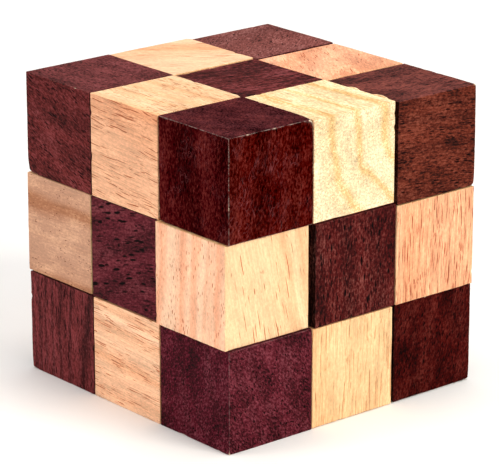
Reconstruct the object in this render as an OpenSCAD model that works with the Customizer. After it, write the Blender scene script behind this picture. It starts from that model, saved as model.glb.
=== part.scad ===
// A wooden snake puzzle folded up into its cube: 27 drilled blocks threaded on one elastic cord.
// Millimetres. Z is up, the front faces -Y, and the origin is on the table under the middle of the cube.
// The blocks are numbered along the cord, from the front left corner at the bottom.

/* [Blocks] */
// Side of one block
block_side = 24.7; // [22:0.1:30]
// Space between blocks that stand side by side
side_gap = 0.3; // [0.1:0.05:0.5]
// Space between blocks that stand one behind the other
depth_gap = 0.15; // [0.1:0.05:0.5]
// Space between blocks that stand on each other
stack_gap = 0.1; // [0.1:0.05:0.3]
// Extra space, front to back, beside the rows that the cord doesn't draw tight
slack = 0.7; // [0:0.1:1]

/* [Cord] */
// Diameter of the elastic cord
cord_d = 2.8; // [2:0.1:3]
// Diameter of the hole drilled for the cord
hole_d = 6; // [5.5:0.1:7]

/* [Cord ends] */
// Diameter of the knot at each end of the cord
knot_d = 7; // [7:0.1:7.4]
// Diameter of the socket that the knot sits in
socket_d = 8.4; // [8:0.1:9]
// Depth of that socket
socket_depth = 9; // [9:0.1:9.5]
// Thickness of the wooden plug that closes the socket
plug_thickness = 3; // [2:0.1:3]

/* [Colours] */
// Stained blocks
dark_wood = "#4d2226"; // [#4d2226:Maroon stain, #3f2115:Brown stain]
// Plain blocks
light_wood = "#e8bd8d"; // [#e8bd8d:Rubberwood, #f0d9ab:Pale maple]
// Plugs over the knots
plug_wood = "#c99b6a"; // [#c99b6a:Beech dowel, #8a5a3a:Walnut dowel]
// Elastic cord
cord_colour = "#1c1b1d"; // [#1c1b1d:Black, #e6e2d8:White]

/* [Hidden] */
$fn = 48;
RIGHT = [1, 0, 0];
BACK = [0, 1, 0];
UP = [0, 0, 1];

// The cord's way through the cube, a letter for each link between two blocks:
// X, Y and Z lead right, back and up, and x, y and z lead left, forward and down.
route = "XXZxxZXXYxxzXXzxxYXXZxxZXX";
block_count = len(route) + 1;

// Blocks that sit off the even spacing: number, then how far right, back and up
seats = [
    [4, [-0.7, -0.6, 0]],
    [5, [-0.35, 0, 0.2]],
    [6, [-0.45, 0, 0.25]],
    [10, [0, 0, 0.1]],
    [15, [0, 0, -0.3]],
    [16, [0, 0, 0.15]],
    [21, [-0.2, 0, 0.2]],
    [22, [0.2, 0, -0.3]],
    [25, [0, 0, -0.5]],
    [26, [0.1, 0, -0.7]],
    [27, [0.2, 0, -0.7]],
];

// Blocks that were cut small: number, then how much narrower, shallower and lower
trims = [
    [5, [0.3, 0, 0.2]],
    [6, [0, 0, 0.25]],
    [10, [0, 0, 0.4]],
    [11, [0, 0, 0.3]],
    [12, [0, 0, 0.1]],
    [16, [0, 0, 0.5]],
    [21, [0, 0, 0.5]],
    [22, [0, 0, 0.5]],
    [23, [0, 0, 0.7]],
    [24, [0, 0, 0.5]],
];

pitch = [block_side + side_gap, block_side + depth_gap, block_side + stack_gap];
cord_r = cord_d / 2;
hole_r = hole_d / 2;
// Each stretch of cord stops this far short of the next one
cord_break = 0.05;
// Where the hole turns, each drill runs this far past the other hole
drill_clearance = 0.5;
drill_overrun = hole_r + drill_clearance;
// Cuts run this far out past a face, so that they leave no skin on it
cut_margin = 1;
// Space between a knot and the plug over it
knot_gap = 0.3;
// The plug's radius is this much under its socket's
plug_clearance = 0.02;

function digits(number) = str(number < 10 ? "0" : "", number);
function block_name(number) = str("block_", digits(number));
function cord_name(number) = str("cord_", digits(number), "_", digits(number + 1));

function step(letter) =
    letter == "X" ? RIGHT :
    letter == "x" ? -RIGHT :
    letter == "Y" ? BACK :
    letter == "y" ? -BACK :
    letter == "Z" ? UP : -UP;

// Column, slab and layer of a block, each from 0 to 2
function cell(number) =
    number == 1 ? [0, 0, 0] : cell(number - 1) + step(route[number - 2]);

// A block's own entry in a list, or no change at all
function entry(list, number) =
    let (found = [for (row = list) if (row[0] == number) row[1]])
    len(found) > 0 ? found[0] : [0, 0, 0];

// How far back the loose rows let a block stand
function stand_back(cell) =
    cell[1] == 0 ? 0 :
    cell[1] == 2 || cell[2] == 1 ? slack :
    cell[2] == 2 ? 0 : slack * (2 - cell[0]) / 2;

function block_size(number) = [block_side, block_side, block_side] - entry(trims, number);

// A block's lowest corner, measured from that of the first block
function place(number) =
    [for (axis = [0:2]) cell(number)[axis] * pitch[axis]]
    + [0, stand_back(cell(number)), 0] + entry(seats, number);

numbers = [1:block_count];
lowest = [for (axis = [0:1]) min([for (number = numbers) place(number)[axis]])];
highest = [for (axis = [0:1]) max([for (number = numbers) (place(number) + block_size(number))[axis]])];
centre = [(lowest[0] + highest[0]) / 2, (lowest[1] + highest[1]) / 2, 0];

function corner(number) = place(number) - centre;
function middle(number) = corner(number) + block_size(number) / 2;

// Directions of the two holes of a block: where the cord comes from, and where it goes
function way_in(number) = number == 1 ? -RIGHT : -step(route[number - 2]);
function way_out(number) = number == block_count ? BACK : step(route[number - 1]);

function reach(number) = middle(number + 1) - middle(number);

// Turns +Z to point along a direction
module along(direction) {
    if (direction[0] != 0) {
        rotate([0, 90 * direction[0], 0]) children();
    } else if (direction[1] != 0) {
        rotate([-90 * direction[1], 0, 0]) children();
    } else {
        rotate([direction[2] > 0 ? 0 : 180, 0, 0]) children();
    }
}

module straight_hole(direction) {
    along(direction) cylinder(h = 2 * block_side, r = hole_r, center = true);
}

module turning_hole(direction) {
    along(direction) translate([0, 0, -drill_overrun]) cylinder(h = block_side, r = hole_r);
}

// Socket for a knot, sunk from the face that the direction leads to
module socket(direction) {
    along(direction)
        translate([0, 0, block_side / 2 - socket_depth])
            cylinder(h = socket_depth + cut_margin, r = socket_d / 2);
}

module block(number) {
    is_straight = way_in(number) == -way_out(number);
    difference() {
        translate(corner(number)) cube(block_size(number));
        translate(middle(number)) {
            if (is_straight) {
                straight_hole(way_out(number));
            } else {
                turning_hole(way_in(number));
                turning_hole(way_out(number));
            }
            if (number == 1) socket(way_in(number));
            if (number == block_count) socket(way_out(number));
        }
    }
}

// The cord from the middle of one block to the middle of the next
module cord(number) {
    length = reach(number) * way_out(number) - cord_r - cord_break;
    color(cord_colour)
        translate(middle(number)) along(way_out(number)) {
            sphere(r = cord_r);
            cylinder(h = length, r = cord_r);
        }
}

// The end of the cord, from the middle of its block to the knot in the socket
module knot(number, direction, start) {
    knot_height = block_side / 2 - plug_thickness - knot_gap - knot_d / 2;
    color(cord_colour)
        translate(middle(number)) along(direction) {
            translate([0, 0, start]) cylinder(h = knot_height - start, r = cord_r);
            translate([0, 0, knot_height]) sphere(d = knot_d);
        }
}

module plug(number, direction) {
    color(plug_wood)
        translate(middle(number)) along(direction)
            translate([0, 0, block_side / 2 - plug_thickness])
                cylinder(h = plug_thickness, r = socket_d / 2 - plug_clearance);
}

module start_knot() {
    knot(1, way_in(1), cord_r + cord_break);
}

module start_plug() {
    plug(1, way_in(1));
}

module end_knot() {
    color(cord_colour) translate(middle(block_count)) sphere(r = cord_r);
    knot(block_count, way_out(block_count), 0);
}

module end_plug() {
    plug(block_count, way_out(block_count));
}

for (number = [1:block_count]) {
    shade = number % 2 == 1 ? dark_wood : light_wood;
    color(shade) block(number);
}
for (number = [1:block_count - 1]) {
    cord(number);
}
start_knot();
start_plug();
end_knot();
end_plug();
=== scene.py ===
"""Looks of the wooden snake puzzle: worn, drilled blocks in two woods, on a knotted elastic cord."""

import math
import random

import bpy
import numpy as np
from mathutils import Matrix, Vector, noise


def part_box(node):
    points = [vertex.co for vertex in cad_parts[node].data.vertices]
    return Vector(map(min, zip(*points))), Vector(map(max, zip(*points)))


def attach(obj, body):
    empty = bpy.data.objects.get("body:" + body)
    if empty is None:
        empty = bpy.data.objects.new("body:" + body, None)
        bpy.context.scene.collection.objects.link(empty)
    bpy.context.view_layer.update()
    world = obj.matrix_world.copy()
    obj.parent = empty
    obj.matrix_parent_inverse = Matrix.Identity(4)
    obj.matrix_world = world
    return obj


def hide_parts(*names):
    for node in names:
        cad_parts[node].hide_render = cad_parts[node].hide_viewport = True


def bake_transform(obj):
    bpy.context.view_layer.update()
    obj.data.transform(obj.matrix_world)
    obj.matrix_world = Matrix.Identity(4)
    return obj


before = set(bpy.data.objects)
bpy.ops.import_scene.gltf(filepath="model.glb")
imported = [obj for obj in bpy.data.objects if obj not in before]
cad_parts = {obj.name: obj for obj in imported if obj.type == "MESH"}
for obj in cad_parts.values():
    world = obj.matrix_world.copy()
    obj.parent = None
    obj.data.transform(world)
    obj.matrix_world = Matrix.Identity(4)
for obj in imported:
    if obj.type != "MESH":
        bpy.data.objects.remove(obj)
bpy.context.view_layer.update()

MM = 0.001
BLOCK_COUNT = 27
RIGHT, BACK, UP = Vector((1, 0, 0)), Vector((0, 1, 0)), Vector((0, 0, 1))

# Camera: where it stands round its target, in degrees and metres, and its lens in mm
CAMERA_AZIMUTH = 49.8
CAMERA_ELEVATION = 18.0
CAMERA_DISTANCE = 0.711
CAMERA_LENS = 215.0
CAMERA_TARGET = Vector((0.5, 0.1, 36.0)) * MM

# Drilled holes. A drill has a conical tip, whose point is a share of its radius
HOLE_RADIUS = 3.0 * MM
HOLE_FLARE = 0.35 * MM
DRILL_OVERRUN = 3.5 * MM
DRILL_TIP = 1.6 * MM
DRILL_POINT_SHARE = 0.1
SOCKET_RADIUS = 4.2 * MM
SOCKET_DEPTH = 9.0 * MM
SOCKET_FLARE = 0.12 * MM
SOCKET_TIP = 0.8 * MM
# How far the two halves of a straight hole overlap in the middle of the block
HALVES_OVERLAP = 0.1 * MM

# Cord
CORD_RADIUS = 1.4 * MM
CORD_BEND = 3.0 * MM
BRAID_STRANDS = 8
BRAID_PITCH = 9.0 * MM
BRAID_DEPTH = 0.13 * MM

# Knots: an overhand knot pulled tight, so its cord is a little thinner. The loops' size is in mm.
KNOT_CORD_RADIUS = 1.12 * MM
KNOT_RADIUS = 3.5 * MM
KNOT_NECK = 2.2 * MM
LOOP_SPREAD = 0.74
LOOP_RISE = 1.15

# Plugs: sanded a hair under the block's face, with a broken rim and a slightly dished end
PLUG_GAP = 0.02 * MM
PLUG_RIM = 0.2 * MM
PLUG_RECESS = 0.04 * MM
PLUG_DISH = 0.03 * MM

# Blocks' surface: cuts near each edge, then even cuts between them
EDGE_CUTS = [0, 0.1 * MM, 0.2 * MM, 0.33 * MM, 0.5 * MM, 0.8 * MM, 1.3 * MM]
EVEN_CUTS = 26
EDGE_RADIUS = 0.2 * MM
LEAST_EDGE_RADIUS = 0.08 * MM

# Unevenness of the edges: waves per mm, and how strong they are as a share of the edge's radius
SLOW_WAVES, SLOW_WEAR = 0.16, 0.7
FINE_WAVES, FINE_WEAR = 0.9, 0.35
# Nicks: waves per mm, how high a wave has to be to make one, and its depth for each unit above that
NICK_WAVES = 0.55
NICK_THRESHOLD = 0.42
NICK_DEPTH = 2.6 * MM
# Hollows of the faces: waves per mm, and how deep they are as a share of the distance from the middle
HOLLOW_WAVES = 0.12
HOLLOW_SHARE = 0.0012
# How far apart the blocks lie in the noise, for each step in their numbers
WEAR_STRIDE = (17.3, 5.1, 9.7)
HOLLOW_STRIDE = 7.7
NICK_OFFSET = Vector((40, 0, 0))

# A surface counts as fully on an edge when its normal leans this far off the block's axes
FULL_LEAN = 0.27
# The walls of a hole count as bored from the first depth on, and in full after the second one more
BORE_START, BORE_FADE = 0.3 * MM, 0.4 * MM
# Share of a worn spot's reach that is rubbed down to bare wood
BARE_SHARE = 0.7
# Faces that meet at more than this angle make a sharp edge
SHARP_ANGLE = math.radians(38)


def block_name(number):
    return f"block_{number:02d}"


def cord_name(number):
    return f"cord_{number:02d}_{number + 1:02d}"


def middle(node):
    low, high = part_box(node)
    return (Vector(low) + Vector(high)) / 2


def half_size(node):
    low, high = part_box(node)
    return (Vector(high) - Vector(low)) / 2


def main_axis(direction):
    """The frame's axis nearest to a direction, with its sign."""
    axis = max(range(3), key=lambda i: abs(direction[i]))
    sign = 1 if direction[axis] > 0 else -1
    return (RIGHT, BACK, UP)[axis] * sign


def way_out(number):
    """Direction in which the cord leaves a block."""
    if number == BLOCK_COUNT:
        return main_axis(middle("end_plug") - middle(block_name(number)))
    return main_axis(middle(block_name(number + 1)) - middle(block_name(number)))


def way_in(number):
    """Direction of the side of a block where the cord comes in."""
    if number == 1:
        return main_axis(middle("start_plug") - middle(block_name(number)))
    return -way_out(number - 1)


def turn_to(direction):
    """Rotation that points +Z along a direction."""
    return Vector(direction).to_track_quat("Z", "Y").to_matrix().to_4x4()


# Meshes


def piece_from(name, points, faces, smooth=True):
    """A new object of some points and faces."""
    mesh = bpy.data.meshes.new(name)
    mesh.from_pydata([tuple(point) for point in points], [], faces)
    mesh.update()
    if smooth:
        mesh.shade_smooth()
    piece = bpy.data.objects.new(name, mesh)
    bpy.context.scene.collection.objects.link(piece)
    return piece


def box_shell(steps):
    """Corners, in whole steps, and faces of a cube's surface cut into steps x steps squares a side."""
    corners, faces = {}, []
    for axis in range(3):
        for side in (0, steps):
            for i in range(steps):
                for j in range(steps):
                    ring = [(i, j), (i + 1, j), (i + 1, j + 1), (i, j + 1)]
                    if (side == 0) != (axis == 1):
                        ring.reverse()
                    quad = []
                    for pair in ring:
                        corner = list(pair)
                        corner.insert(axis, side)
                        quad.append(corners.setdefault(tuple(corner), len(corners)))
                    faces.append(quad)
    return np.array(list(corners)), faces


SHELL_STEPS = 2 * (len(EDGE_CUTS) - 1) + EVEN_CUTS
SHELL_CORNERS, SHELL_FACES = box_shell(SHELL_STEPS)


def stations(half):
    """Places of the cuts along one side of a block, from -half to +half."""
    near = [-half + cut for cut in EDGE_CUTS]
    far = [half - cut for cut in reversed(EDGE_CUTS)]
    between = np.linspace(near[-1], far[0], EVEN_CUTS + 1)[1:-1]
    return np.array([*near, *between, *far])


def spot_share(point, half, place, reach):
    """How much of a worn spot reaches a point: 1 at the spot's middle, falling off smoothly."""
    distance = (Vector(c * h for c, h in zip(place, half)) - Vector(point)).length
    return math.exp(-((distance / reach) ** 2))


def worn_radius(point, half, seed, spots):
    """Radius of the edge near a point on a block: uneven, with small nicks and the worn spots."""
    where = Vector(point) / MM + Vector([seed * stride for stride in WEAR_STRIDE])
    slow = SLOW_WEAR * noise.noise(where * SLOW_WAVES)
    fine = FINE_WEAR * noise.noise(where * FINE_WAVES)
    radius = EDGE_RADIUS * (1 + slow + fine)
    nick = noise.noise(where * NICK_WAVES + NICK_OFFSET)
    radius += max(0, nick - NICK_THRESHOLD) * NICK_DEPTH
    for place, depth, reach in spots:
        radius += depth * spot_share(point, half, place, reach)
    return max(radius, LEAST_EDGE_RADIUS)


def worn_points(half, seed, spots):
    """Points of a block's surface: edges rounded unevenly, and faces a little hollow here and there."""
    cuts = [stations(h) for h in half]
    points = []
    for corner in SHELL_CORNERS:
        sharp = np.array([cuts[axis][corner[axis]] for axis in range(3)])
        depth = np.sort(np.array(half) - np.abs(sharp))[1]
        if depth < EDGE_CUTS[-1]:
            radius = worn_radius(sharp, half, seed, spots)
            core = np.clip(sharp, radius - np.array(half), np.array(half) - radius)
            outward = sharp - core
            sharp = core + outward * (radius / np.linalg.norm(outward))
        hollow = noise.noise(Vector(sharp) / MM * HOLLOW_WAVES + Vector((seed * HOLLOW_STRIDE, 0, 0)))
        points.append(sharp * (1 - HOLLOW_SHARE * (1 + hollow)))
    return points


def tube_faces(rings, sides):
    """Faces that join rings of points into a tube with closed ends."""
    faces = []
    for ring in range(rings - 1):
        near, far = ring * sides, (ring + 1) * sides
        for side in range(sides):
            after = (side + 1) % sides
            faces.append([near + side, near + after, far + after, far + side])
    faces.append(list(reversed(range(sides))))
    faces.append([(rings - 1) * sides + side for side in range(sides)])
    return faces


def lathe(name, outline, place, direction, sides=48):
    """A solid turned from an outline of (radius, height) points, from a place along a direction."""
    points = []
    for radius, height in outline:
        for side in range(sides):
            angle = 2 * math.pi * side / sides
            points.append(Vector((radius * math.cos(angle), radius * math.sin(angle), height)))
    turned = Matrix.Translation(place) @ turn_to(direction)
    return piece_from(name, [turned @ point for point in points], tube_faces(len(outline), sides))


def hole_outline(radius, bottom, face, flare, tip=0.0):
    """Outline of a drill's cut: a conical tip below the bottom, a straight wall, and a flared mouth."""
    outline = [(radius, bottom), (radius, face - flare), (radius + 2 * flare, face + flare)]
    if tip:
        outline.insert(0, (DRILL_POINT_SHARE * radius, bottom - tip))
    return outline


def hole_cutters(number):
    """Cutters for a block's holes, and for the socket of a knot in the first and last blocks."""
    name = block_name(number)
    centre, half = middle(name), half_size(name)
    ways = (way_in(number), way_out(number))
    is_straight = ways[0] == -ways[1]
    bottom = -HALVES_OVERLAP if is_straight else -DRILL_OVERRUN
    tip = 0.0 if is_straight else DRILL_TIP
    cutters = []
    for way in ways:
        face = abs(half.dot(way))
        outline = hole_outline(HOLE_RADIUS, bottom, face, HOLE_FLARE, tip)
        cutters.append(lathe("cutter", outline, centre, way))
    if number in (1, BLOCK_COUNT):
        way = ways[0] if number == 1 else ways[1]
        face = abs(half.dot(way))
        outline = hole_outline(SOCKET_RADIUS, face - SOCKET_DEPTH, face, SOCKET_FLARE, SOCKET_TIP)
        cutters.append(lathe("cutter", outline, centre, way))
    return cutters


def cut(piece, cutters):
    """Takes the cutters away from a piece, leaves the plain mesh of what remains, and deletes them."""
    for cutter in cutters:
        drill = piece.modifiers.new("drill", "BOOLEAN")
        drill.operation = "DIFFERENCE"
        drill.solver = "EXACT"
        drill.object = cutter
    depsgraph = bpy.context.evaluated_depsgraph_get()
    mesh = bpy.data.meshes.new_from_object(piece.evaluated_get(depsgraph))
    mesh.name = piece.name
    piece.modifiers.clear()
    piece.data = mesh
    for cutter in cutters:
        bpy.data.objects.remove(cutter)


def paint_places(piece, centre, half, spots):
    """Writes on each point how near an edge of the block it is, how deep in a hole, and how worn bare."""
    mesh = piece.data
    points, normals = np.empty(len(mesh.vertices) * 3), np.empty(len(mesh.vertices) * 3)
    mesh.vertices.foreach_get("co", points)
    mesh.vertices.foreach_get("normal", normals)
    points = points.reshape(-1, 3) - np.array(centre)
    depth = np.sort(np.array(half) - np.abs(points), axis=1)
    lean = 1 - np.abs(normals.reshape(-1, 3)).max(axis=1)
    edge = np.clip(lean / FULL_LEAN, 0, 1) * (depth[:, 1] < EDGE_CUTS[-1])
    bore = np.clip((depth[:, 0] - BORE_START) / BORE_FADE, 0, 1)
    bare = np.zeros(len(points))
    for place, _, reach in spots:
        distance = np.linalg.norm(points - np.array(place) * np.array(half), axis=1)
        bare = np.maximum(bare, np.exp(-((distance / (BARE_SHARE * reach)) ** 2)))
    for name, values in (("edge", edge), ("bore", bore), ("bare", bare)):
        attribute = mesh.attributes.new(name, "FLOAT", "POINT")
        attribute.data.foreach_set("value", values.astype(np.float32))


# Worn spots on the blocks' edges: (right, back, up) from -1 to 1 on the block, depth, and reach
WORN_SPOTS = {
    1: [((-1, -1, -1), 0.4 * MM, 2.0 * MM), ((0.3, -1, -1), 0.2 * MM, 0.8 * MM)],
    3: [((1, -1, -1), 0.2 * MM, 1.6 * MM), ((-0.35, -1, -1), 0.45 * MM, 1.1 * MM)],
    7: [
        ((-1, -1, -1), 0.9 * MM, 2.2 * MM),
        ((-0.1, -1, 1), 0.3 * MM, 0.8 * MM),
        ((0.55, -1, 1), 0.25 * MM, 0.7 * MM),
    ],
    9: [
        ((1, 1, 1), 0.8 * MM, 2.2 * MM),
        ((-1, -1, -1), 0.5 * MM, 1.6 * MM),
        ((1, -0.55, 1), 0.3 * MM, 0.8 * MM),
        ((1, 0.1, 1), 0.35 * MM, 0.9 * MM),
        ((1, 0.5, 1), 0.25 * MM, 0.7 * MM),
        ((1, -1, 0.55), 0.25 * MM, 1.0 * MM),
        ((1, -1, -0.3), 0.25 * MM, 1.1 * MM),
    ],
    21: [((1, 1, -1), 0.25 * MM, 1.6 * MM), ((1, -0.2, 1), 0.2 * MM, 0.8 * MM)],
    27: [((1, 1, 1), 0.2 * MM, 1.6 * MM), ((1, 1, -1), 0.4 * MM, 1.6 * MM)],
}


def make_block(number):
    """A block with worn edges, drilled where the cord goes."""
    name = block_name(number)
    centre, half = middle(name), half_size(name)
    spots = WORN_SPOTS.get(number, [])
    points = worn_points(half, number, spots)
    block = piece_from(name + "_wood", [Vector(point) + centre for point in points], SHELL_FACES)
    cut(block, hole_cutters(number))
    block.data.shade_smooth()
    block.data.set_sharp_from_angle(angle=SHARP_ANGLE)
    paint_places(block, centre, half, spots)
    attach(block, name)
    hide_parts(name)
    return block


# Materials

# Waves per mm of each pattern in the wood, across the grain and along it
FIBRE_WAVES = (2.4, 0.07)
MOTTLE_WAVES = (0.16, 0.07)
SPECKLE_WAVES = (2.1, 1.1)
WOBBLE_WAVES = (0.09, 0.03)
BEND_WAVES = (0.16, 0.06)
CLUMP_WAVES = (0.22, 0.1)
SCRATCH_WAVES = (0.7, 0.035)
# How far the vessels wander sideways, in mm
BEND_REACH = (2.2, 2.2, 0)
# The three ways in which scratches lean off the grain, in radians
SCRATCH_LEANS = (0.45, -0.3, -0.75)
SCRATCH_COLOUR = "#84494c"
BARE_WOOD = "#e6cfae"
# What the walls of a hole keep of the wood's red, green and blue
BORED_TINT = (0.62, 0.5, 0.42, 1.0)
# How far apart along the grain the blocks were sawn, in mm for each step in their seeds
GRAIN_STRIDE = 60
# A plug's seed is this much above its block's
PLUG_SEED = 31
# Blocks without a grain of their own: how far it tilts, and the pith's distance from the middle in mm
MOST_TILT = 0.12
PITH_DISTANCES = (12, 30)


class Wiring:
    """Adds nodes to a node tree. A value is a number, a colour, or another node's output."""

    def __init__(self, tree):
        self.tree = tree

    def node(self, kind, inputs=None, **settings):
        made = self.tree.nodes.new("ShaderNode" + kind)
        for name, value in settings.items():
            setattr(made, name, value)
        for name, value in (inputs or {}).items():
            if isinstance(value, bpy.types.NodeSocket):
                self.tree.links.new(value, made.inputs[name])
            else:
                made.inputs[name].default_value = value
        return made

    def math(self, operation, a, b=0.0, c=0.0):
        return self.node("Math", {0: a, 1: b, 2: c}, operation=operation).outputs[0]

    def mix(self, factor, a, b, mode="MIX"):
        inputs = {0: factor, 6: a, 7: b}
        return self.node("Mix", inputs, data_type="RGBA", blend_type=mode).outputs[2]

    def grey(self, value):
        return self.node("CombineColor", {0: value, 1: value, 2: value}).outputs[0]

    def ramp(self, value, low, high, start=0.0, end=1.0):
        """Start below low, end above high, and a smooth change between them."""
        inputs = {0: value, 1: low, 2: high, 3: start, 4: end}
        return self.node("MapRange", inputs, interpolation_type="SMOOTHSTEP").outputs[0]

    def stretch(self, vector, across, along):
        """A grain vector scaled across and along the grain."""
        scale = self.node("CombineXYZ", {0: across, 1: across, 2: along}).outputs[0]
        return self.node("VectorMath", {0: vector, 1: scale}, operation="MULTIPLY").outputs[0]

    def noise(self, vector, scale=1.0, detail=2.0, roughness=0.5):
        inputs = {"Vector": vector, "Scale": scale, "Detail": detail, "Roughness": roughness}
        return self.node("TexNoise", inputs)


def linear(colour):
    """The (red, green, blue, 1) that a shader takes, from a colour such as "#c8a070"."""
    parts = [int(colour[i : i + 2], 16) / 255 for i in (1, 3, 5)]
    return (*[p / 12.92 if p <= 0.04045 else ((p + 0.055) / 1.055) ** 2.4 for p in parts], 1.0)


# What sets one wood apart from another. Front, Right, Top and Rest are its colours on each side, and Vein
# and Pore tint them. Ring width, Wobble, Pore size and Pore length are in mm, and the other numbers are
# shares or strengths. Wobble is how far the rings stray, and Clumping how unevenly the pores are spread.
WOOD_INPUTS = [
    ("Grain", "Vector"), ("Front", "Color"), ("Right", "Color"), ("Top", "Color"), ("Rest", "Color"),
    ("Vein", "Color"), ("Pore", "Color"), ("Worn", "Color"), ("Dust", "Color"),
    ("Ring width", "Float"), ("Band strength", "Float"), ("Line strength", "Float"), ("Wobble", "Float"),
    ("Fibre strength", "Float"), ("Mottle", "Float"), ("Speckle", "Float"),
    ("Pore size", "Float"), ("Pore length", "Float"), ("Pore density", "Float"), ("Clumping", "Float"),
    ("Fine pores", "Float"), ("Scratches", "Float"), ("Wear", "Float"), ("Roughness", "Float"),
]


def wood_group():
    """Solid wood: growth rings round the grain axis, fibres and pores along it, in millimetres."""
    tree = bpy.data.node_groups.new("solid_wood", "ShaderNodeTree")
    for name, kind in WOOD_INPUTS:
        tree.interface.new_socket(name=name, in_out="INPUT", socket_type="NodeSocket" + kind)
    for name, kind in (("Colour", "Color"), ("Roughness", "Float"), ("Height", "Float")):
        tree.interface.new_socket(name=name, in_out="OUTPUT", socket_type="NodeSocket" + kind)
    wire = Wiring(tree)
    given = tree.nodes.new("NodeGroupInput").outputs
    grain = given["Grain"]
    rings = wood_rings(wire, given, grain)
    fibres = wire.noise(wire.stretch(grain, *FIBRE_WAVES), detail=4, roughness=0.65).outputs[0]
    mottle = wire.noise(wire.stretch(grain, *MOTTLE_WAVES), detail=3, roughness=0.6).outputs[0]
    speckle = wire.noise(wire.stretch(grain, *SPECKLE_WAVES), detail=3, roughness=0.7).outputs[0]
    pores = wood_pores(wire, given, grain)

    colour = face_colour(wire, given)
    colour = wire.mix(rings, colour, wire.mix(1.0, colour, given["Vein"], "MULTIPLY"))
    shade = wire.math("MULTIPLY_ADD", wire.math("SUBTRACT", fibres, 0.5), given["Fibre strength"], 1.0)
    shade = wire.math("MULTIPLY_ADD", wire.math("SUBTRACT", mottle, 0.5), given["Mottle"], shade)
    shade = wire.math("MULTIPLY_ADD", wire.math("SUBTRACT", speckle, 0.5), given["Speckle"], shade)
    # Below 1 the shade darkens the wood. Above 1 it adds dust.
    low = wire.math("MINIMUM", wire.math("MAXIMUM", shade, 0.1), 1.0)
    high = wire.math("MAXIMUM", wire.math("SUBTRACT", shade, 1.0), 0.0)
    colour = wire.mix(1.0, colour, wire.grey(low), "MULTIPLY")
    colour = wire.mix(1.0, colour, wire.mix(1.0, given["Dust"], wire.grey(high), "MULTIPLY"), "ADD")
    colour = wire.mix(pores, colour, wire.mix(1.0, colour, given["Pore"], "MULTIPLY"))
    scratched = wire.math("MULTIPLY", scratches(wire, grain), given["Scratches"])
    colour = wire.mix(scratched, colour, linear(SCRATCH_COLOUR))
    colour = worn_colour(wire, given, grain, colour)

    height = wire.math("MULTIPLY_ADD", fibres, 0.35, wire.math("MULTIPLY", pores, -1.0))
    height = wire.math("MULTIPLY_ADD", speckle, 0.2, height)
    roughness = wire.math("MULTIPLY_ADD", wire.math("SUBTRACT", fibres, 0.5), 0.22, given["Roughness"])
    roughness = wire.math("MULTIPLY_ADD", pores, 0.15, roughness)
    results = tree.nodes.new("NodeGroupOutput").inputs
    for name, value in (("Colour", colour), ("Roughness", roughness), ("Height", height)):
        tree.links.new(value, results[name])
    return tree


def wood_rings(wire, given, grain):
    """Soft growth bands of uneven strength, and a darker line in each ring, which is fainter in some."""
    parts = wire.node("SeparateXYZ", {0: grain}).outputs
    flat = wire.node("CombineXYZ", {0: parts[0], 1: parts[1]}).outputs[0]
    radius = wire.node("VectorMath", {0: flat}, operation="LENGTH").outputs["Value"]
    wobble = wire.noise(wire.stretch(grain, *WOBBLE_WAVES), detail=2).outputs[0]
    radius = wire.math("MULTIPLY_ADD", wire.math("SUBTRACT", wobble, 0.5), given["Wobble"], radius)
    phase = wire.math("DIVIDE", radius, given["Ring width"])
    banding = {"W": phase, "Scale": 1.0, "Detail": 1.0}
    band = wire.node("TexNoise", banding, noise_dimensions="1D").outputs[0]
    band = wire.math("MULTIPLY", wire.ramp(band, 0.35, 0.65), given["Band strength"])
    ridge = wire.math("PINGPONG", phase, 0.5)
    fading = {"W": phase, "Scale": 0.45, "Detail": 0.0}
    faded = wire.node("TexNoise", fading, noise_dimensions="1D").outputs[0]
    line = wire.math("MULTIPLY", wire.ramp(ridge, 0.22, 0.5), wire.ramp(faded, 0.36, 0.56))
    line = wire.math("MULTIPLY", line, given["Line strength"])
    return wire.math("ADD", band, line)


def wood_pores(wire, given, grain):
    """Open vessels cut by the surface: short dark lines on long grain, dots on end grain."""
    bend = wire.noise(wire.stretch(grain, *BEND_WAVES), detail=2).outputs["Color"]
    bend = wire.node("VectorMath", {0: bend, 1: BEND_REACH}, operation="MULTIPLY").outputs[0]
    bent = wire.node("VectorMath", {0: grain, 1: bend}, operation="ADD").outputs[0]
    clump = wire.noise(wire.stretch(grain, *CLUMP_WAVES), detail=1).outputs[0]
    clump = wire.ramp(clump, 0.36, 0.64, -1.0, 1.0)
    share = wire.math("MULTIPLY_ADD", clump, given["Clumping"], 1.0)
    density = wire.math("MULTIPLY", given["Pore density"], share)
    across = wire.math("DIVIDE", 1.0, given["Pore size"])
    along = wire.math("DIVIDE", 1.0, given["Pore length"])
    bold = vessels(wire, wire.stretch(bent, across, along), density)
    across = wire.math("MULTIPLY", across, 1.7)
    along = wire.math("MULTIPLY", along, 0.8)
    fine = vessels(wire, wire.stretch(bent, across, along), wire.math("MULTIPLY", density, 0.8))
    return wire.math("MAXIMUM", bold, wire.math("MULTIPLY", fine, given["Fine pores"]))


def vessels(wire, vector, density):
    """One vessel in each cell of a stretched pattern. Some cells have none, and some a wider one."""
    cells = wire.node("TexVoronoi", {"Vector": vector, "Scale": 1.0})
    draws = wire.node("SeparateColor", {0: cells.outputs["Color"]}).outputs
    chosen = wire.math("LESS_THAN", draws[0], density)
    width = wire.math("MULTIPLY_ADD", draws[1], 0.16, 0.2)
    inside = wire.ramp(wire.math("SUBTRACT", cells.outputs["Distance"], width), -0.1, 0.04, 1.0, 0.0)
    return wire.math("MULTIPLY", inside, chosen)


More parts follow.
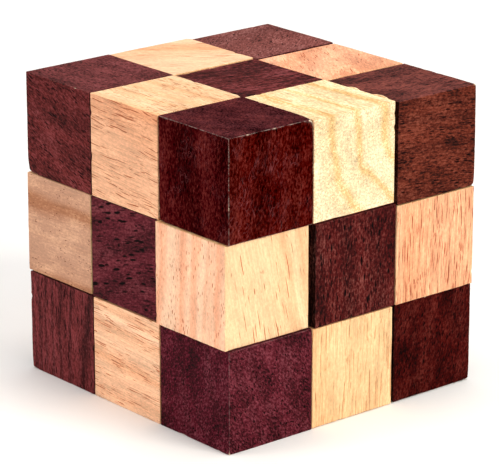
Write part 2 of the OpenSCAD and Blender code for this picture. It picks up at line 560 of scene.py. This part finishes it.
def scratches(wire, grain):
    """Fine scratches that cross each other, in patches."""
    lines = []
    for lean in SCRATCH_LEANS:
        inputs = {"Vector": grain, "Axis": (1, 1, 0), "Angle": lean}
        turned = wire.node("VectorRotate", inputs).outputs[0]
        field = wire.noise(wire.stretch(turned, *SCRATCH_WAVES), detail=1).outputs[0]
        off = wire.math("ABSOLUTE", wire.math("SUBTRACT", field, 0.5))
        lines.append(wire.ramp(off, 0.0, 0.012, 1.0, 0.0))
    patches = wire.ramp(wire.noise(grain, scale=0.13, detail=2).outputs[0], 0.45, 0.6)
    line = wire.math("MAXIMUM", wire.math("MAXIMUM", lines[0], lines[1]), lines[2])
    return wire.math("MULTIPLY", line, patches)


def face_colour(wire, given):
    """The block's own colour, which differs from side to side as the saw cut it. Some sides' colours also
    hold painted light: painted shade on fronts that show only through gaps, and a painted sheen on greyer
    dark tops.
    """
    normal = wire.node("TexCoord").outputs["Normal"]
    parts = wire.node("SeparateXYZ", {0: normal}).outputs
    front = wire.ramp(wire.math("MULTIPLY", parts[1], -1.0), 0.55, 0.85)
    colour = wire.mix(front, given["Rest"], given["Front"])
    colour = wire.mix(wire.ramp(parts[0], 0.55, 0.85), colour, given["Right"])
    return wire.mix(wire.ramp(parts[2], 0.55, 0.85), colour, given["Top"])


def worn_colour(wire, given, grain, colour):
    """Rubbed edges, bare wood in the worn spots, and darker walls in the holes."""
    edge = wire.node("Attribute", attribute_name="edge").outputs["Fac"]
    bore = wire.node("Attribute", attribute_name="bore").outputs["Fac"]
    bare = wire.node("Attribute", attribute_name="bare").outputs["Fac"]
    patches = wire.ramp(wire.noise(grain, scale=0.9, detail=5, roughness=0.75).outputs[0], 0.4, 0.62)
    rub = wire.math("MULTIPLY", wire.math("MULTIPLY", edge, patches), given["Wear"])
    colour = wire.mix(rub, colour, given["Worn"])
    chip = wire.ramp(wire.math("MULTIPLY", edge, bare), 0.25, 0.7)
    colour = wire.mix(wire.math("MULTIPLY", chip, patches), colour, linear(BARE_WOOD))
    bored = wire.mix(1.0, colour, BORED_TINT, "MULTIPLY")
    return wire.mix(wire.math("MULTIPLY", bore, 0.8), colour, bored)


# The two kinds of wood. Gloss is the shader's specular level.
DARK = {
    "Vein": "#b8a4a6", "Pore": "#45302f", "Worn": "#8c7069", "Dust": "#63373a",
    "Ring width": 3.4, "Band strength": 0.5, "Line strength": 0.15, "Wobble": 3.0,
    "Fibre strength": 2.2, "Mottle": 2.6, "Speckle": 2.8,
    "Pore size": 0.6, "Pore length": 4.0, "Pore density": 0.7, "Clumping": 0.5, "Fine pores": 0.7,
    "Scratches": 0.0, "Wear": 0.3, "Roughness": 0.6, "gloss": 0.05,
}
LIGHT = {
    "Vein": "#f2d4bd", "Pore": "#c08d70", "Worn": "#e6b98a", "Dust": "#f8d9ae",
    "Ring width": 4.2, "Band strength": 0.6, "Line strength": 0.2, "Wobble": 3.0,
    "Fibre strength": 0.9, "Mottle": 0.6, "Speckle": 0.7,
    "Pore size": 0.36, "Pore length": 15.0, "Pore density": 0.45, "Clumping": 0.6, "Fine pores": 0.6,
    "Scratches": 0.0, "Wear": 0.2, "Roughness": 0.62, "gloss": 0.12,
}

# What sets a block apart from its kind. Grain: its direction. Pith: a point on the middle of the tree, in
# mm from the middle of the block.
OWN_LOOKS = {
    1: {"grain": (-0.09, 0.03, 1), "pith": (15, 34, 0), "Front": "#712a2c", "Ring width": 1.1,
        "Mottle": 1.6, "Band strength": 0.2, "Line strength": 0.7, "Speckle": 3.6, "Vein": "#8a7072",
        "Wobble": 1.5},
    2: {"grain": (1, 0.01, -0.05), "pith": (0, 20, -26), "Front": "#fccea9", "Clumping": 1.0,
        "Pore density": 0.75, "Pore": "#c27a58", "Fibre strength": 1.1},
    3: {"grain": (0.45, -0.55, 0.7), "pith": (20, 20, 0), "Front": "#4f0218", "Right": "#551420",
        "Pore length": 1.6, "Pore density": 0.6, "Speckle": 4.8, "Mottle": 2.5, "Dust": "#5a3138",
        "Worn": "#8c6a6c", "Wear": 0.6},
    4: {"grain": (0.02, -0.2, 1), "pith": (-30, -10, 0), "Front": "#fbd0ae", "Right": "#f3cfa2",
        "Wobble": 8.0, "Band strength": 0.6, "Fibre strength": 0.6, "Fine pores": 0.3, "Mottle": 0.7,
        "Pore density": 0.25, "Pore": "#c47f5e", "Vein": "#f8c8b6", "Worn": "#b8845e", "Wear": 0.7},
    5: {"grain": (0.97, 0.12, 0.24), "pith": (0, 24, 34), "Front": "#5c1a25", "Pore size": 1.15,
        "Pore length": 5.0, "Pore density": 0.9, "Clumping": 0.8, "Pore": "#2e171a", "Fine pores": 0.8,
        "Fibre strength": 2.0, "Speckle": 3.4, "Mottle": 2.4},
    6: {"grain": (1, 0.04, 0.03), "pith": (0, 6, -49), "Front": "#c99a7e", "Ring width": 9.0,
        "Band strength": 0.2, "Line strength": 1.0, "Vein": "#dcc2ac", "Wobble": 8.0,
        "Fibre strength": 0.45, "Pore density": 0.15, "Pore length": 0.9, "Pore": "#96705a",
        "Fine pores": 0.3, "Mottle": 0.7},
    # Block 7's greyer Top colour is partly a painted sheen.
    7: {"grain": (0.9, 0.15, -0.33), "pith": (0, 20, 20), "Front": "#662221", "Top": "#6c3130",
        "Pore length": 5.0, "Pore density": 0.95, "Mottle": 2.2, "Speckle": 3.8},
    8: {"grain": (1, 0.02, -0.07), "pith": (0, 40, -8), "Front": "#edb48e", "Top": "#f2c99e",
        "Pore density": 0.8, "Pore": "#b88062"},
    # Block 9's greyer Top colour is partly a painted sheen.
    9: {"grain": (0.05, 0.1, 1), "pith": (-20, 30, 0), "Front": "#3e0307", "Right": "#430301",
        "Top": "#4d2125", "Dust": "#52241f", "Worn": "#a8958c", "Pore density": 0.1, "Wear": 0.8,
        "Mottle": 2.6, "Speckle": 4.8, "Fibre strength": 1.0, "Scratches": 0.4, "gloss": 0.0},
    10: {"grain": (1, 0.03, 0), "pith": (0, 28, 12), "Right": "#f3d9b1", "Top": "#f2d4a5",
         "Ring width": 8.0, "Vein": "#f5dab0", "Line strength": 0.9, "Speckle": 1.6, "Wobble": 6.0,
         "Band strength": 0.3, "Dust": "#fff6e0", "Pore density": 0.3, "Pore": "#e2bd97",
         "Worn": "#e9b878", "Wear": 0.5, "Mottle": 0.9},
    11: {"grain": (0.2, 1, 0), "pith": (12, 0, -30), "Top": "#5b1c1a", "Speckle": 4.5,
         "Fibre strength": 4.5, "Pore size": 1.0, "Pore length": 3.0},
    12: {"grain": (0.7, 0.7, 0.05), "pith": (10, -10, -40), "Top": "#f4c39c", "Pore density": 0.2,
         "Mottle": 0.4},
    # Block 15's Front is a near-black painted shade: that side shows only through a gap.
    15: {"grain": (0.1, 0.02, 1), "pith": (-20, 30, 0), "Right": "#4c0a0a", "Front": "#2c0e0c",
         "Pore size": 0.75, "Pore length": 3.0, "Pore density": 0.9, "Clumping": 0.2, "Pore": "#1c0c0e",
         "Mottle": 1.8, "Speckle": 4.4, "Dust": "#5f3a34", "Wear": 0.12},
    16: {"grain": (0.01, 0.02, 1), "pith": (-30, 5, 0), "Right": "#f5cd9b", "Pore length": 30.0,
         "Pore size": 0.32, "Pore density": 0.75, "Fine pores": 0.8, "Pore": "#c4926d",
         "Clumping": 0.3},
    # Block 21's Front is a near-black painted shade: that side shows only through a gap.
    21: {"grain": (0.3, 0.3, 1), "pith": (-15, 12, 0), "Right": "#400403", "Front": "#2c0e0c",
         "Dust": "#46201a", "Mottle": 3.2, "Speckle": 4.2, "Wear": 0.1, "gloss": 0.02},
    22: {"grain": (0, 0.02, 1), "pith": (-30, 8, 0), "Right": "#efb088", "Pore length": 8.0,
         "Pore density": 1.0, "Clumping": 0.3, "Pore": "#b36547", "Fine pores": 1.0,
         "Fibre strength": 1.3},
    # Block 25's greyer Top colour is partly a painted sheen.
    25: {"grain": (0.6, -0.7, 0.2), "pith": (10, 0, -30), "Top": "#7f433d", "Speckle": 3.0,
         "Pore density": 0.2, "Dust": "#80605c", "Mottle": 1.6},
    26: {"grain": (0.8, -0.5, 0.1), "pith": (0, 10, -30), "Top": "#f0ad89", "Pore density": 0.25,
         "Mottle": 1.2, "Speckle": 1.1},
    # Block 27's Front is a near-black painted shade, as that side shows only through a gap, and its
    # greyer Top is partly a painted sheen.
    27: {"grain": (0.1, 1, -0.12), "pith": (10, 0, -16), "Right": "#602416", "Top": "#743933",
         "Front": "#2c0e0c", "Dust": "#63392c", "Fibre strength": 2.3, "Pore": "#5b4140",
         "Pore length": 3.0, "Wobble": 6.0, "Wear": 0.12, "Mottle": 2.4, "Speckle": 4.2},
}

# How a plug differs from the light blocks
PLUG_LOOK = {
    "pith": (3, 4, 2), "Front": "#b98a5c", "Right": "#b98a5c", "Top": "#b98a5c", "Rest": "#b98a5c",
    "Ring width": 1.1, "Line strength": 0.5, "Vein": "#c89a70", "Pore density": 0.6, "Speckle": 0.3,
}

# Colours for the sides that have none of their own in the table above
DARK_SHADES = ["#5a2125", "#4a1618", "#672a2a", "#4f1c22", "#61261f"]
LIGHT_SHADES = ["#f3c496", "#eab887", "#f7d6a2", "#efbf94", "#f0cd98"]


def look_of(number):
    """A block's wood settings: its kind's, seeded choices of colours and grain, and then its own."""
    draw = random.Random(number)
    shades = DARK_SHADES if number % 2 else LIGHT_SHADES
    look = dict(DARK if number % 2 else LIGHT)
    tilt = [draw.uniform(-MOST_TILT, MOST_TILT) for _ in range(3)]
    tilt[draw.randrange(3)] = 1
    look["grain"] = tilt
    look["pith"] = [draw.choice((-1, 1)) * draw.uniform(*PITH_DISTANCES) for _ in range(3)]
    for side in ("Front", "Right", "Top", "Rest"):
        look[side] = draw.choice(shades)
    look.update(OWN_LOOKS.get(number, {}))
    return look


def wood_material(name, centre, look, group, seed):
    """One block's wood: the shared solid wood, laid out along the block's own grain."""
    material = bpy.data.materials.new(name)
    material.use_nodes = True
    tree = material.node_tree
    tree.nodes.clear()
    wire = Wiring(tree)
    turn = turn_to(Vector(look["grain"]).normalized()).to_3x3().inverted()
    shift = -(turn @ (centre / MM + Vector(look["pith"])))
    shift.z += GRAIN_STRIDE * seed
    place = {"Location": shift, "Rotation": turn.to_euler("XYZ"), "Scale": (1 / MM,) * 3}
    place["Vector"] = wire.node("TexCoord").outputs["Object"]
    grain = wire.node("Mapping", place, vector_type="POINT").outputs[0]
    wood = wire.node("Group", node_tree=group)
    tree.links.new(grain, wood.inputs["Grain"])
    for key, kind in WOOD_INPUTS[1:]:
        wood.inputs[key].default_value = linear(look[key]) if kind == "Color" else look[key]
    bump = wire.node("Bump", {"Strength": 0.5, "Distance": 0.00012, "Height": wood.outputs["Height"]})
    surface = wire.node("BsdfPrincipled", {
        "Base Color": wood.outputs["Colour"],
        "Roughness": wood.outputs["Roughness"],
        "Normal": bump.outputs[0],
        "Specular IOR Level": look["gloss"],
    })
    result = wire.node("OutputMaterial")
    tree.links.new(surface.outputs[0], result.inputs[0])
    return material


# Cord, knots and plugs


def make_cord_material():
    """Black braided elastic with a fine fuzz, darker in the grooves between its strands as painted shade.
    """
    material = bpy.data.materials.new("braided_elastic")
    material.use_nodes = True
    tree = material.node_tree
    tree.nodes.clear()
    wire = Wiring(tree)
    place = wire.node("TexCoord").outputs["Object"]
    fuzz = wire.noise(place, scale=2200, detail=3, roughness=0.7).outputs[0]
    ridge = wire.node("Attribute", attribute_name="ridge").outputs["Fac"]
    # Painted shade: the colour darkens where the braid dips between its strands.
    colour = wire.mix(ridge, linear("#0d0c0e"), linear("#3a383c"))
    shade = wire.grey(wire.ramp(fuzz, 0.3, 0.7, 0.6, 1.3))
    bump = wire.node("Bump", {"Strength": 0.4, "Distance": 0.0001, "Height": fuzz})
    surface = wire.node("BsdfPrincipled", {
        "Base Color": wire.mix(1.0, colour, shade, "MULTIPLY"),
        "Roughness": wire.ramp(fuzz, 0.2, 0.8, 0.6, 0.85),
        "Normal": bump.outputs[0],
        "Sheen Weight": 0.3,
    })
    tree.links.new(surface.outputs[0], wire.node("OutputMaterial").inputs[0])
    return material


def arc(corner, before, after, start, end, steps=6):
    """Points of the cord's bend round a corner, from share start to share end of the quarter turn."""
    centre = corner + (before + after) * CORD_BEND
    points = []
    for step in range(steps + 1):
        angle = math.pi / 2 * (start + (end - start) * step / steps)
        points.append(centre - after * CORD_BEND * math.cos(angle) - before * CORD_BEND * math.sin(angle))
    return points


def braided_tube(name, path, radius, sides=24, spacing=0.34 * MM):
    """A tube along a path whose surface is a braid of crossing strands."""
    path = spaced(path, spacing)
    points, ridges = [], []
    side = (path[1] - path[0]).orthogonal().normalized()
    travelled = 0.0
    for index, place in enumerate(path):
        ahead = path[min(index + 1, len(path) - 1)] - path[max(index - 1, 0)]
        ahead.normalize()
        side = (side - ahead * side.dot(ahead)).normalized()
        other = ahead.cross(side)
        if index:
            travelled += (place - path[index - 1]).length
        for turn in range(sides):
            angle = 2 * math.pi * turn / sides
            ridge = braid(angle, travelled)
            reach = radius - BRAID_DEPTH * (1 - ridge)
            points.append(place + (side * math.cos(angle) + other * math.sin(angle)) * reach)
            ridges.append(ridge)
    tube = piece_from(name, points, tube_faces(len(path), sides))
    # The braid's heights are kept for the cord material's painted shade between strands.
    attribute = tube.data.attributes.new("ridge", "FLOAT", "POINT")
    attribute.data.foreach_set("value", ridges)
    return tube


def braid(angle, travelled):
    """Height of the braid's surface, from 0 between strands to 1 on top of one."""
    along = 2 * math.pi * travelled / BRAID_PITCH
    one = BRAID_STRANDS * (angle + along) / 2
    other = BRAID_STRANDS * (angle - along) / 2
    over = 0.5 + 0.5 * math.sin(one + other) * math.sin(one - other)
    return max(abs(math.sin(one)) * over, abs(math.sin(other)) * (1 - over)) ** 0.5


def spaced(path, spacing):
    """The same path with points an even distance apart."""
    lengths = [0.0]
    for near, far in zip(path, path[1:]):
        lengths.append(lengths[-1] + (far - near).length)
    count = max(2, round(lengths[-1] / spacing))
    places = np.linspace(0, lengths[-1], count + 1)
    columns = [np.interp(places, lengths, [point[axis] for point in path]) for axis in range(3)]
    return [Vector(point) for point in zip(*columns)]


# The cord turns with these blocks, so their whole bend belongs to the stretch that leaves them
SWIVEL_BLOCKS = (10, 19)


def bend_share(number):
    """How much of a block's bend belongs to the stretch that comes in."""
    return 0.0 if number in SWIVEL_BLOCKS else 0.5


def cord_path(number):
    """The cord from inside one block to inside the next."""
    here, there = middle(block_name(number)), middle(block_name(number + 1))
    on = way_out(number)
    there = here + on * (there - here).dot(on)
    path = []
    if way_in(number) == -on:
        path.append(here)
    else:
        path += arc(here, way_in(number), on, bend_share(number), 1.0)
    if way_out(number + 1) == on:
        path.append(there)
    elif bend_share(number + 1):
        path += arc(there, -on, way_out(number + 1), 0.0, bend_share(number + 1))
    else:
        path.append(there - on * CORD_BEND)
    return path


def make_cord(number, material):
    """One stretch of the cord, from inside one block to inside the next."""
    name = cord_name(number)
    cord = braided_tube(name + "_elastic", cord_path(number), CORD_RADIUS)
    cord.data.materials.append(material)
    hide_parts(name)
    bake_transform(cord)


def knot_loops():
    """Points of an overhand knot round its middle: a trefoil curve, not quite closed."""
    points_all_round, gap, start = 64, 3, 0.35
    loops = []
    for step in range(points_all_round - gap):
        angle = 2 * math.pi * step / points_all_round + start
        x = math.sin(angle) + 2 * math.sin(2 * angle)
        y = math.cos(angle) - 2 * math.cos(2 * angle)
        loops.append(Vector((x * LOOP_SPREAD, y * LOOP_SPREAD, -math.sin(3 * angle) * LOOP_RISE)) * MM)
    return loops


def make_knot(name, number, way, material):
    """The cord's end: from the middle of its block into an overhand knot in the socket."""
    body = block_name(number)
    inner = way_out(number) if number == 1 else way_in(number)
    low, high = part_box(name)
    outer = max(Vector(low).dot(way), Vector(high).dot(way))
    here = middle(body)
    knot_middle = here + way * (outer - here.dot(way) - KNOT_RADIUS)
    if inner == -way:
        path = [here]
    else:
        path = arc(here, inner, way, 0.5, 1.0)
    turned = turn_to(way).to_3x3()
    path.append(knot_middle - way * KNOT_NECK)
    path += [knot_middle + turned @ point for point in knot_loops()]
    knot = braided_tube(name + "_elastic", path, KNOT_CORD_RADIUS)
    knot.data.materials.append(material)
    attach(knot, body)
    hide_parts(name)


def make_plug(name, number, way, group):
    """A slice of dowel glued into the socket: its rim broken by sandpaper, its end grain showing."""
    body = block_name(number)
    low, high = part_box(name)
    thickness = abs((Vector(high) - Vector(low)).dot(way))
    radius = SOCKET_RADIUS - PLUG_GAP
    base = middle(name) - way * thickness / 2
    rim = PLUG_RIM
    top = thickness - PLUG_RECESS
    outline = [(radius - rim, 0), (radius, rim), (radius, top - rim)]
    for angle in (0.5, 1.0, 1.4):
        outline.append((radius - rim * (1 - math.cos(angle)), top - rim + rim * math.sin(angle)))
    outline += [(radius * share, top - PLUG_DISH * (1 - share)) for share in (0.7, 0.45, 0.2, 0.02)]
    plug = lathe(name + "_dowel", outline, base, way)
    plug.data.set_sharp_from_angle(angle=SHARP_ANGLE)
    look = {**LIGHT, **PLUG_LOOK, "grain": tuple(way)}
    wood = wood_material(name + "_end_grain", middle(name), look, group, PLUG_SEED + number)
    plug.data.materials.append(wood)
    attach(plug, body)
    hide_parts(name)


def splinter(points, thickness):
    """Points and faces of a flat sliver that follows some points, twists, and tapers to both ends."""
    tip_share, flatness, twist = 0.15, 1.5, 0.2
    corners = []
    for index, point in enumerate(points):
        share = index / (len(points) - 1)
        reach = thickness / 2 * (tip_share + (1 - tip_share) * math.sin(math.pi * share) ** 0.7)
        ahead = (points[min(index + 1, len(points) - 1)] - points[max(index - 1, 0)]).normalized()
        side = ahead.cross(UP).normalized()
        other = side.cross(ahead)
        for turn in range(6):
            angle = math.pi * turn / 3 + index * twist
            corners.append(point + (side * math.cos(angle) * flatness + other * math.sin(angle)) * reach)
    return corners, tube_faces(len(points), 6)


def make_splinters(name, body, slivers, material):
    """Slivers still hanging on a block's edge, all one piece."""
    corners, faces = [], []
    for points, thickness in slivers:
        more_corners, more_faces = splinter(points, thickness)
        faces += [[index + len(corners) for index in face] for face in more_faces]
        corners += more_corners
    piece = piece_from(name, corners, faces)
    piece.data.materials.append(material)
    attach(piece, body)


def torn_edge(number):
    """Two long slivers along the top back edge of a block."""
    low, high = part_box(block_name(number))
    edge = Vector((low[0], high[1] - 0.1 * MM, high[2] - 0.05 * MM))
    thickness, steps = 0.34 * MM, 8
    slivers = []
    for start, length, lift in ((8.5, 4.2, 0.25), (17.0, 5.5, 0.35)):
        points = []
        for step in range(steps + 1):
            share = step / steps
            rise = lift * math.sin(math.pi * share) * MM
            run = RIGHT * (start + length * share) * MM
            points.append(edge + run + BACK * rise * 0.6 + UP * rise * 0.5)
        slivers.append((points, thickness))
    return slivers


def frayed_edge(number):
    """Short fibres that stick out of the top left edge of a block."""
    low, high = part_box(block_name(number))
    draw = random.Random(number)
    fibre_count, thickness, ripple, steps = 16, 0.12 * MM, 0.05, 4
    slivers = []
    for _ in range(fibre_count):
        start = Vector((low[0] + 0.25 * MM, draw.uniform(low[1], high[1]), high[2] - 0.2 * MM))
        reach = Vector((-draw.uniform(0.35, 0.5), draw.uniform(-0.3, 0.3), 0.0)) * MM
        points = []
        for step in range(steps + 1):
            points.append(start + reach * (step / steps) + UP * ripple * MM * math.sin(step))
        slivers.append((points, thickness))
    return slivers


# Stage


def make_camera():
    """The camera, on the way back from its target at the named angles."""
    azimuth, elevation = math.radians(CAMERA_AZIMUTH), math.radians(CAMERA_ELEVATION)
    back = Vector((
        math.sin(azimuth) * math.cos(elevation),
        -math.cos(azimuth) * math.cos(elevation),
        math.sin(elevation),
    ))
    data = bpy.data.cameras.new("camera")
    data.lens = CAMERA_LENS
    data.clip_start, data.clip_end = 0.01, 20
    camera = bpy.data.objects.new("camera", data)
    camera.location = CAMERA_TARGET + back * CAMERA_DISTANCE
    camera.rotation_euler = (-back).to_track_quat("-Z", "Y").to_euler()
    bpy.context.scene.collection.objects.link(camera)
    bpy.context.scene.camera = camera


def make_floor():
    """A plain pale floor, with a faint grain in its colour and roughness."""
    material = bpy.data.materials.new("pale_floor")
    material.use_nodes = True
    tree = material.node_tree
    tree.nodes.clear()
    wire = Wiring(tree)
    grain = wire.noise(wire.node("TexCoord").outputs["Object"], scale=40, detail=3).outputs[0]
    surface = wire.node("BsdfPrincipled", {
        "Base Color": wire.mix(grain, linear("#f6f5f3"), linear("#fbfaf8")),
        "Roughness": wire.ramp(grain, 0.2, 0.8, 0.7, 0.85),
        "Specular IOR Level": 0.1,
    })
    tree.links.new(surface.outputs[0], wire.node("OutputMaterial").inputs[0])
    reach = 4.0
    corners = [(-reach, -reach, 0), (reach, -reach, 0), (reach, reach, 0), (-reach, reach, 0)]
    floor = piece_from("floor", corners, [[0, 1, 2, 3]], smooth=False)
    floor.data.materials.append(material)


def make_softbox(name, place, size, power, colour):
    """A round light of a size in metres and a power in watts, which faces the camera's target."""
    data = bpy.data.lights.new(name, "AREA")
    data.shape = "DISK"
    data.size = size
    data.energy = power
    data.color = linear(colour)[:3]
    softbox = bpy.data.objects.new(name, data)
    softbox.location = place
    softbox.rotation_euler = (Vector(place) - CAMERA_TARGET).to_track_quat("Z", "Y").to_euler()
    bpy.context.scene.collection.objects.link(softbox)


def make_lights():
    """White room light, a key on the right, a light overhead and a warmer fill in front."""
    world = bpy.data.worlds.new("room")
    world.use_nodes = True
    background = world.node_tree.nodes["Background"]
    background.inputs["Color"].default_value = linear("#ffffff")
    background.inputs["Strength"].default_value = 0.42
    bpy.context.scene.world = world
    make_softbox("key", (1.35, 0.3, 0.95), 0.9, 19, "#fffaf0")
    make_softbox("overhead", (0.0, 0.1, 1.6), 1.0, 13, "#ffffff")
    make_softbox("fill", (-0.8, -1.5, 0.8), 1.0, 11, "#fff1ea")
    bpy.context.scene.view_settings.view_transform = "Standard"


# Making everything


make_camera()
make_floor()
make_lights()
solid_wood = wood_group()
for number in range(1, BLOCK_COUNT + 1):
    block = make_block(number)
    wood = wood_material(block.name, middle(block_name(number)), look_of(number), solid_wood, number)
    block.data.materials.clear()
    block.data.materials.append(wood)
elastic = make_cord_material()
for number in range(1, BLOCK_COUNT):
    make_cord(number, elastic)
make_splinters("block_10_torn_edge", block_name(10), torn_edge(10), bpy.data.materials["block_10_wood"])
make_splinters("block_08_frayed_edge", block_name(8), frayed_edge(8), bpy.data.materials["block_08_wood"])
make_knot("start_knot", 1, way_in(1), elastic)
make_knot("end_knot", BLOCK_COUNT, way_out(BLOCK_COUNT), elastic)
make_plug("start_plug", 1, way_in(1), solid_wood)
make_plug("end_plug", BLOCK_COUNT, way_out(BLOCK_COUNT), solid_wood)
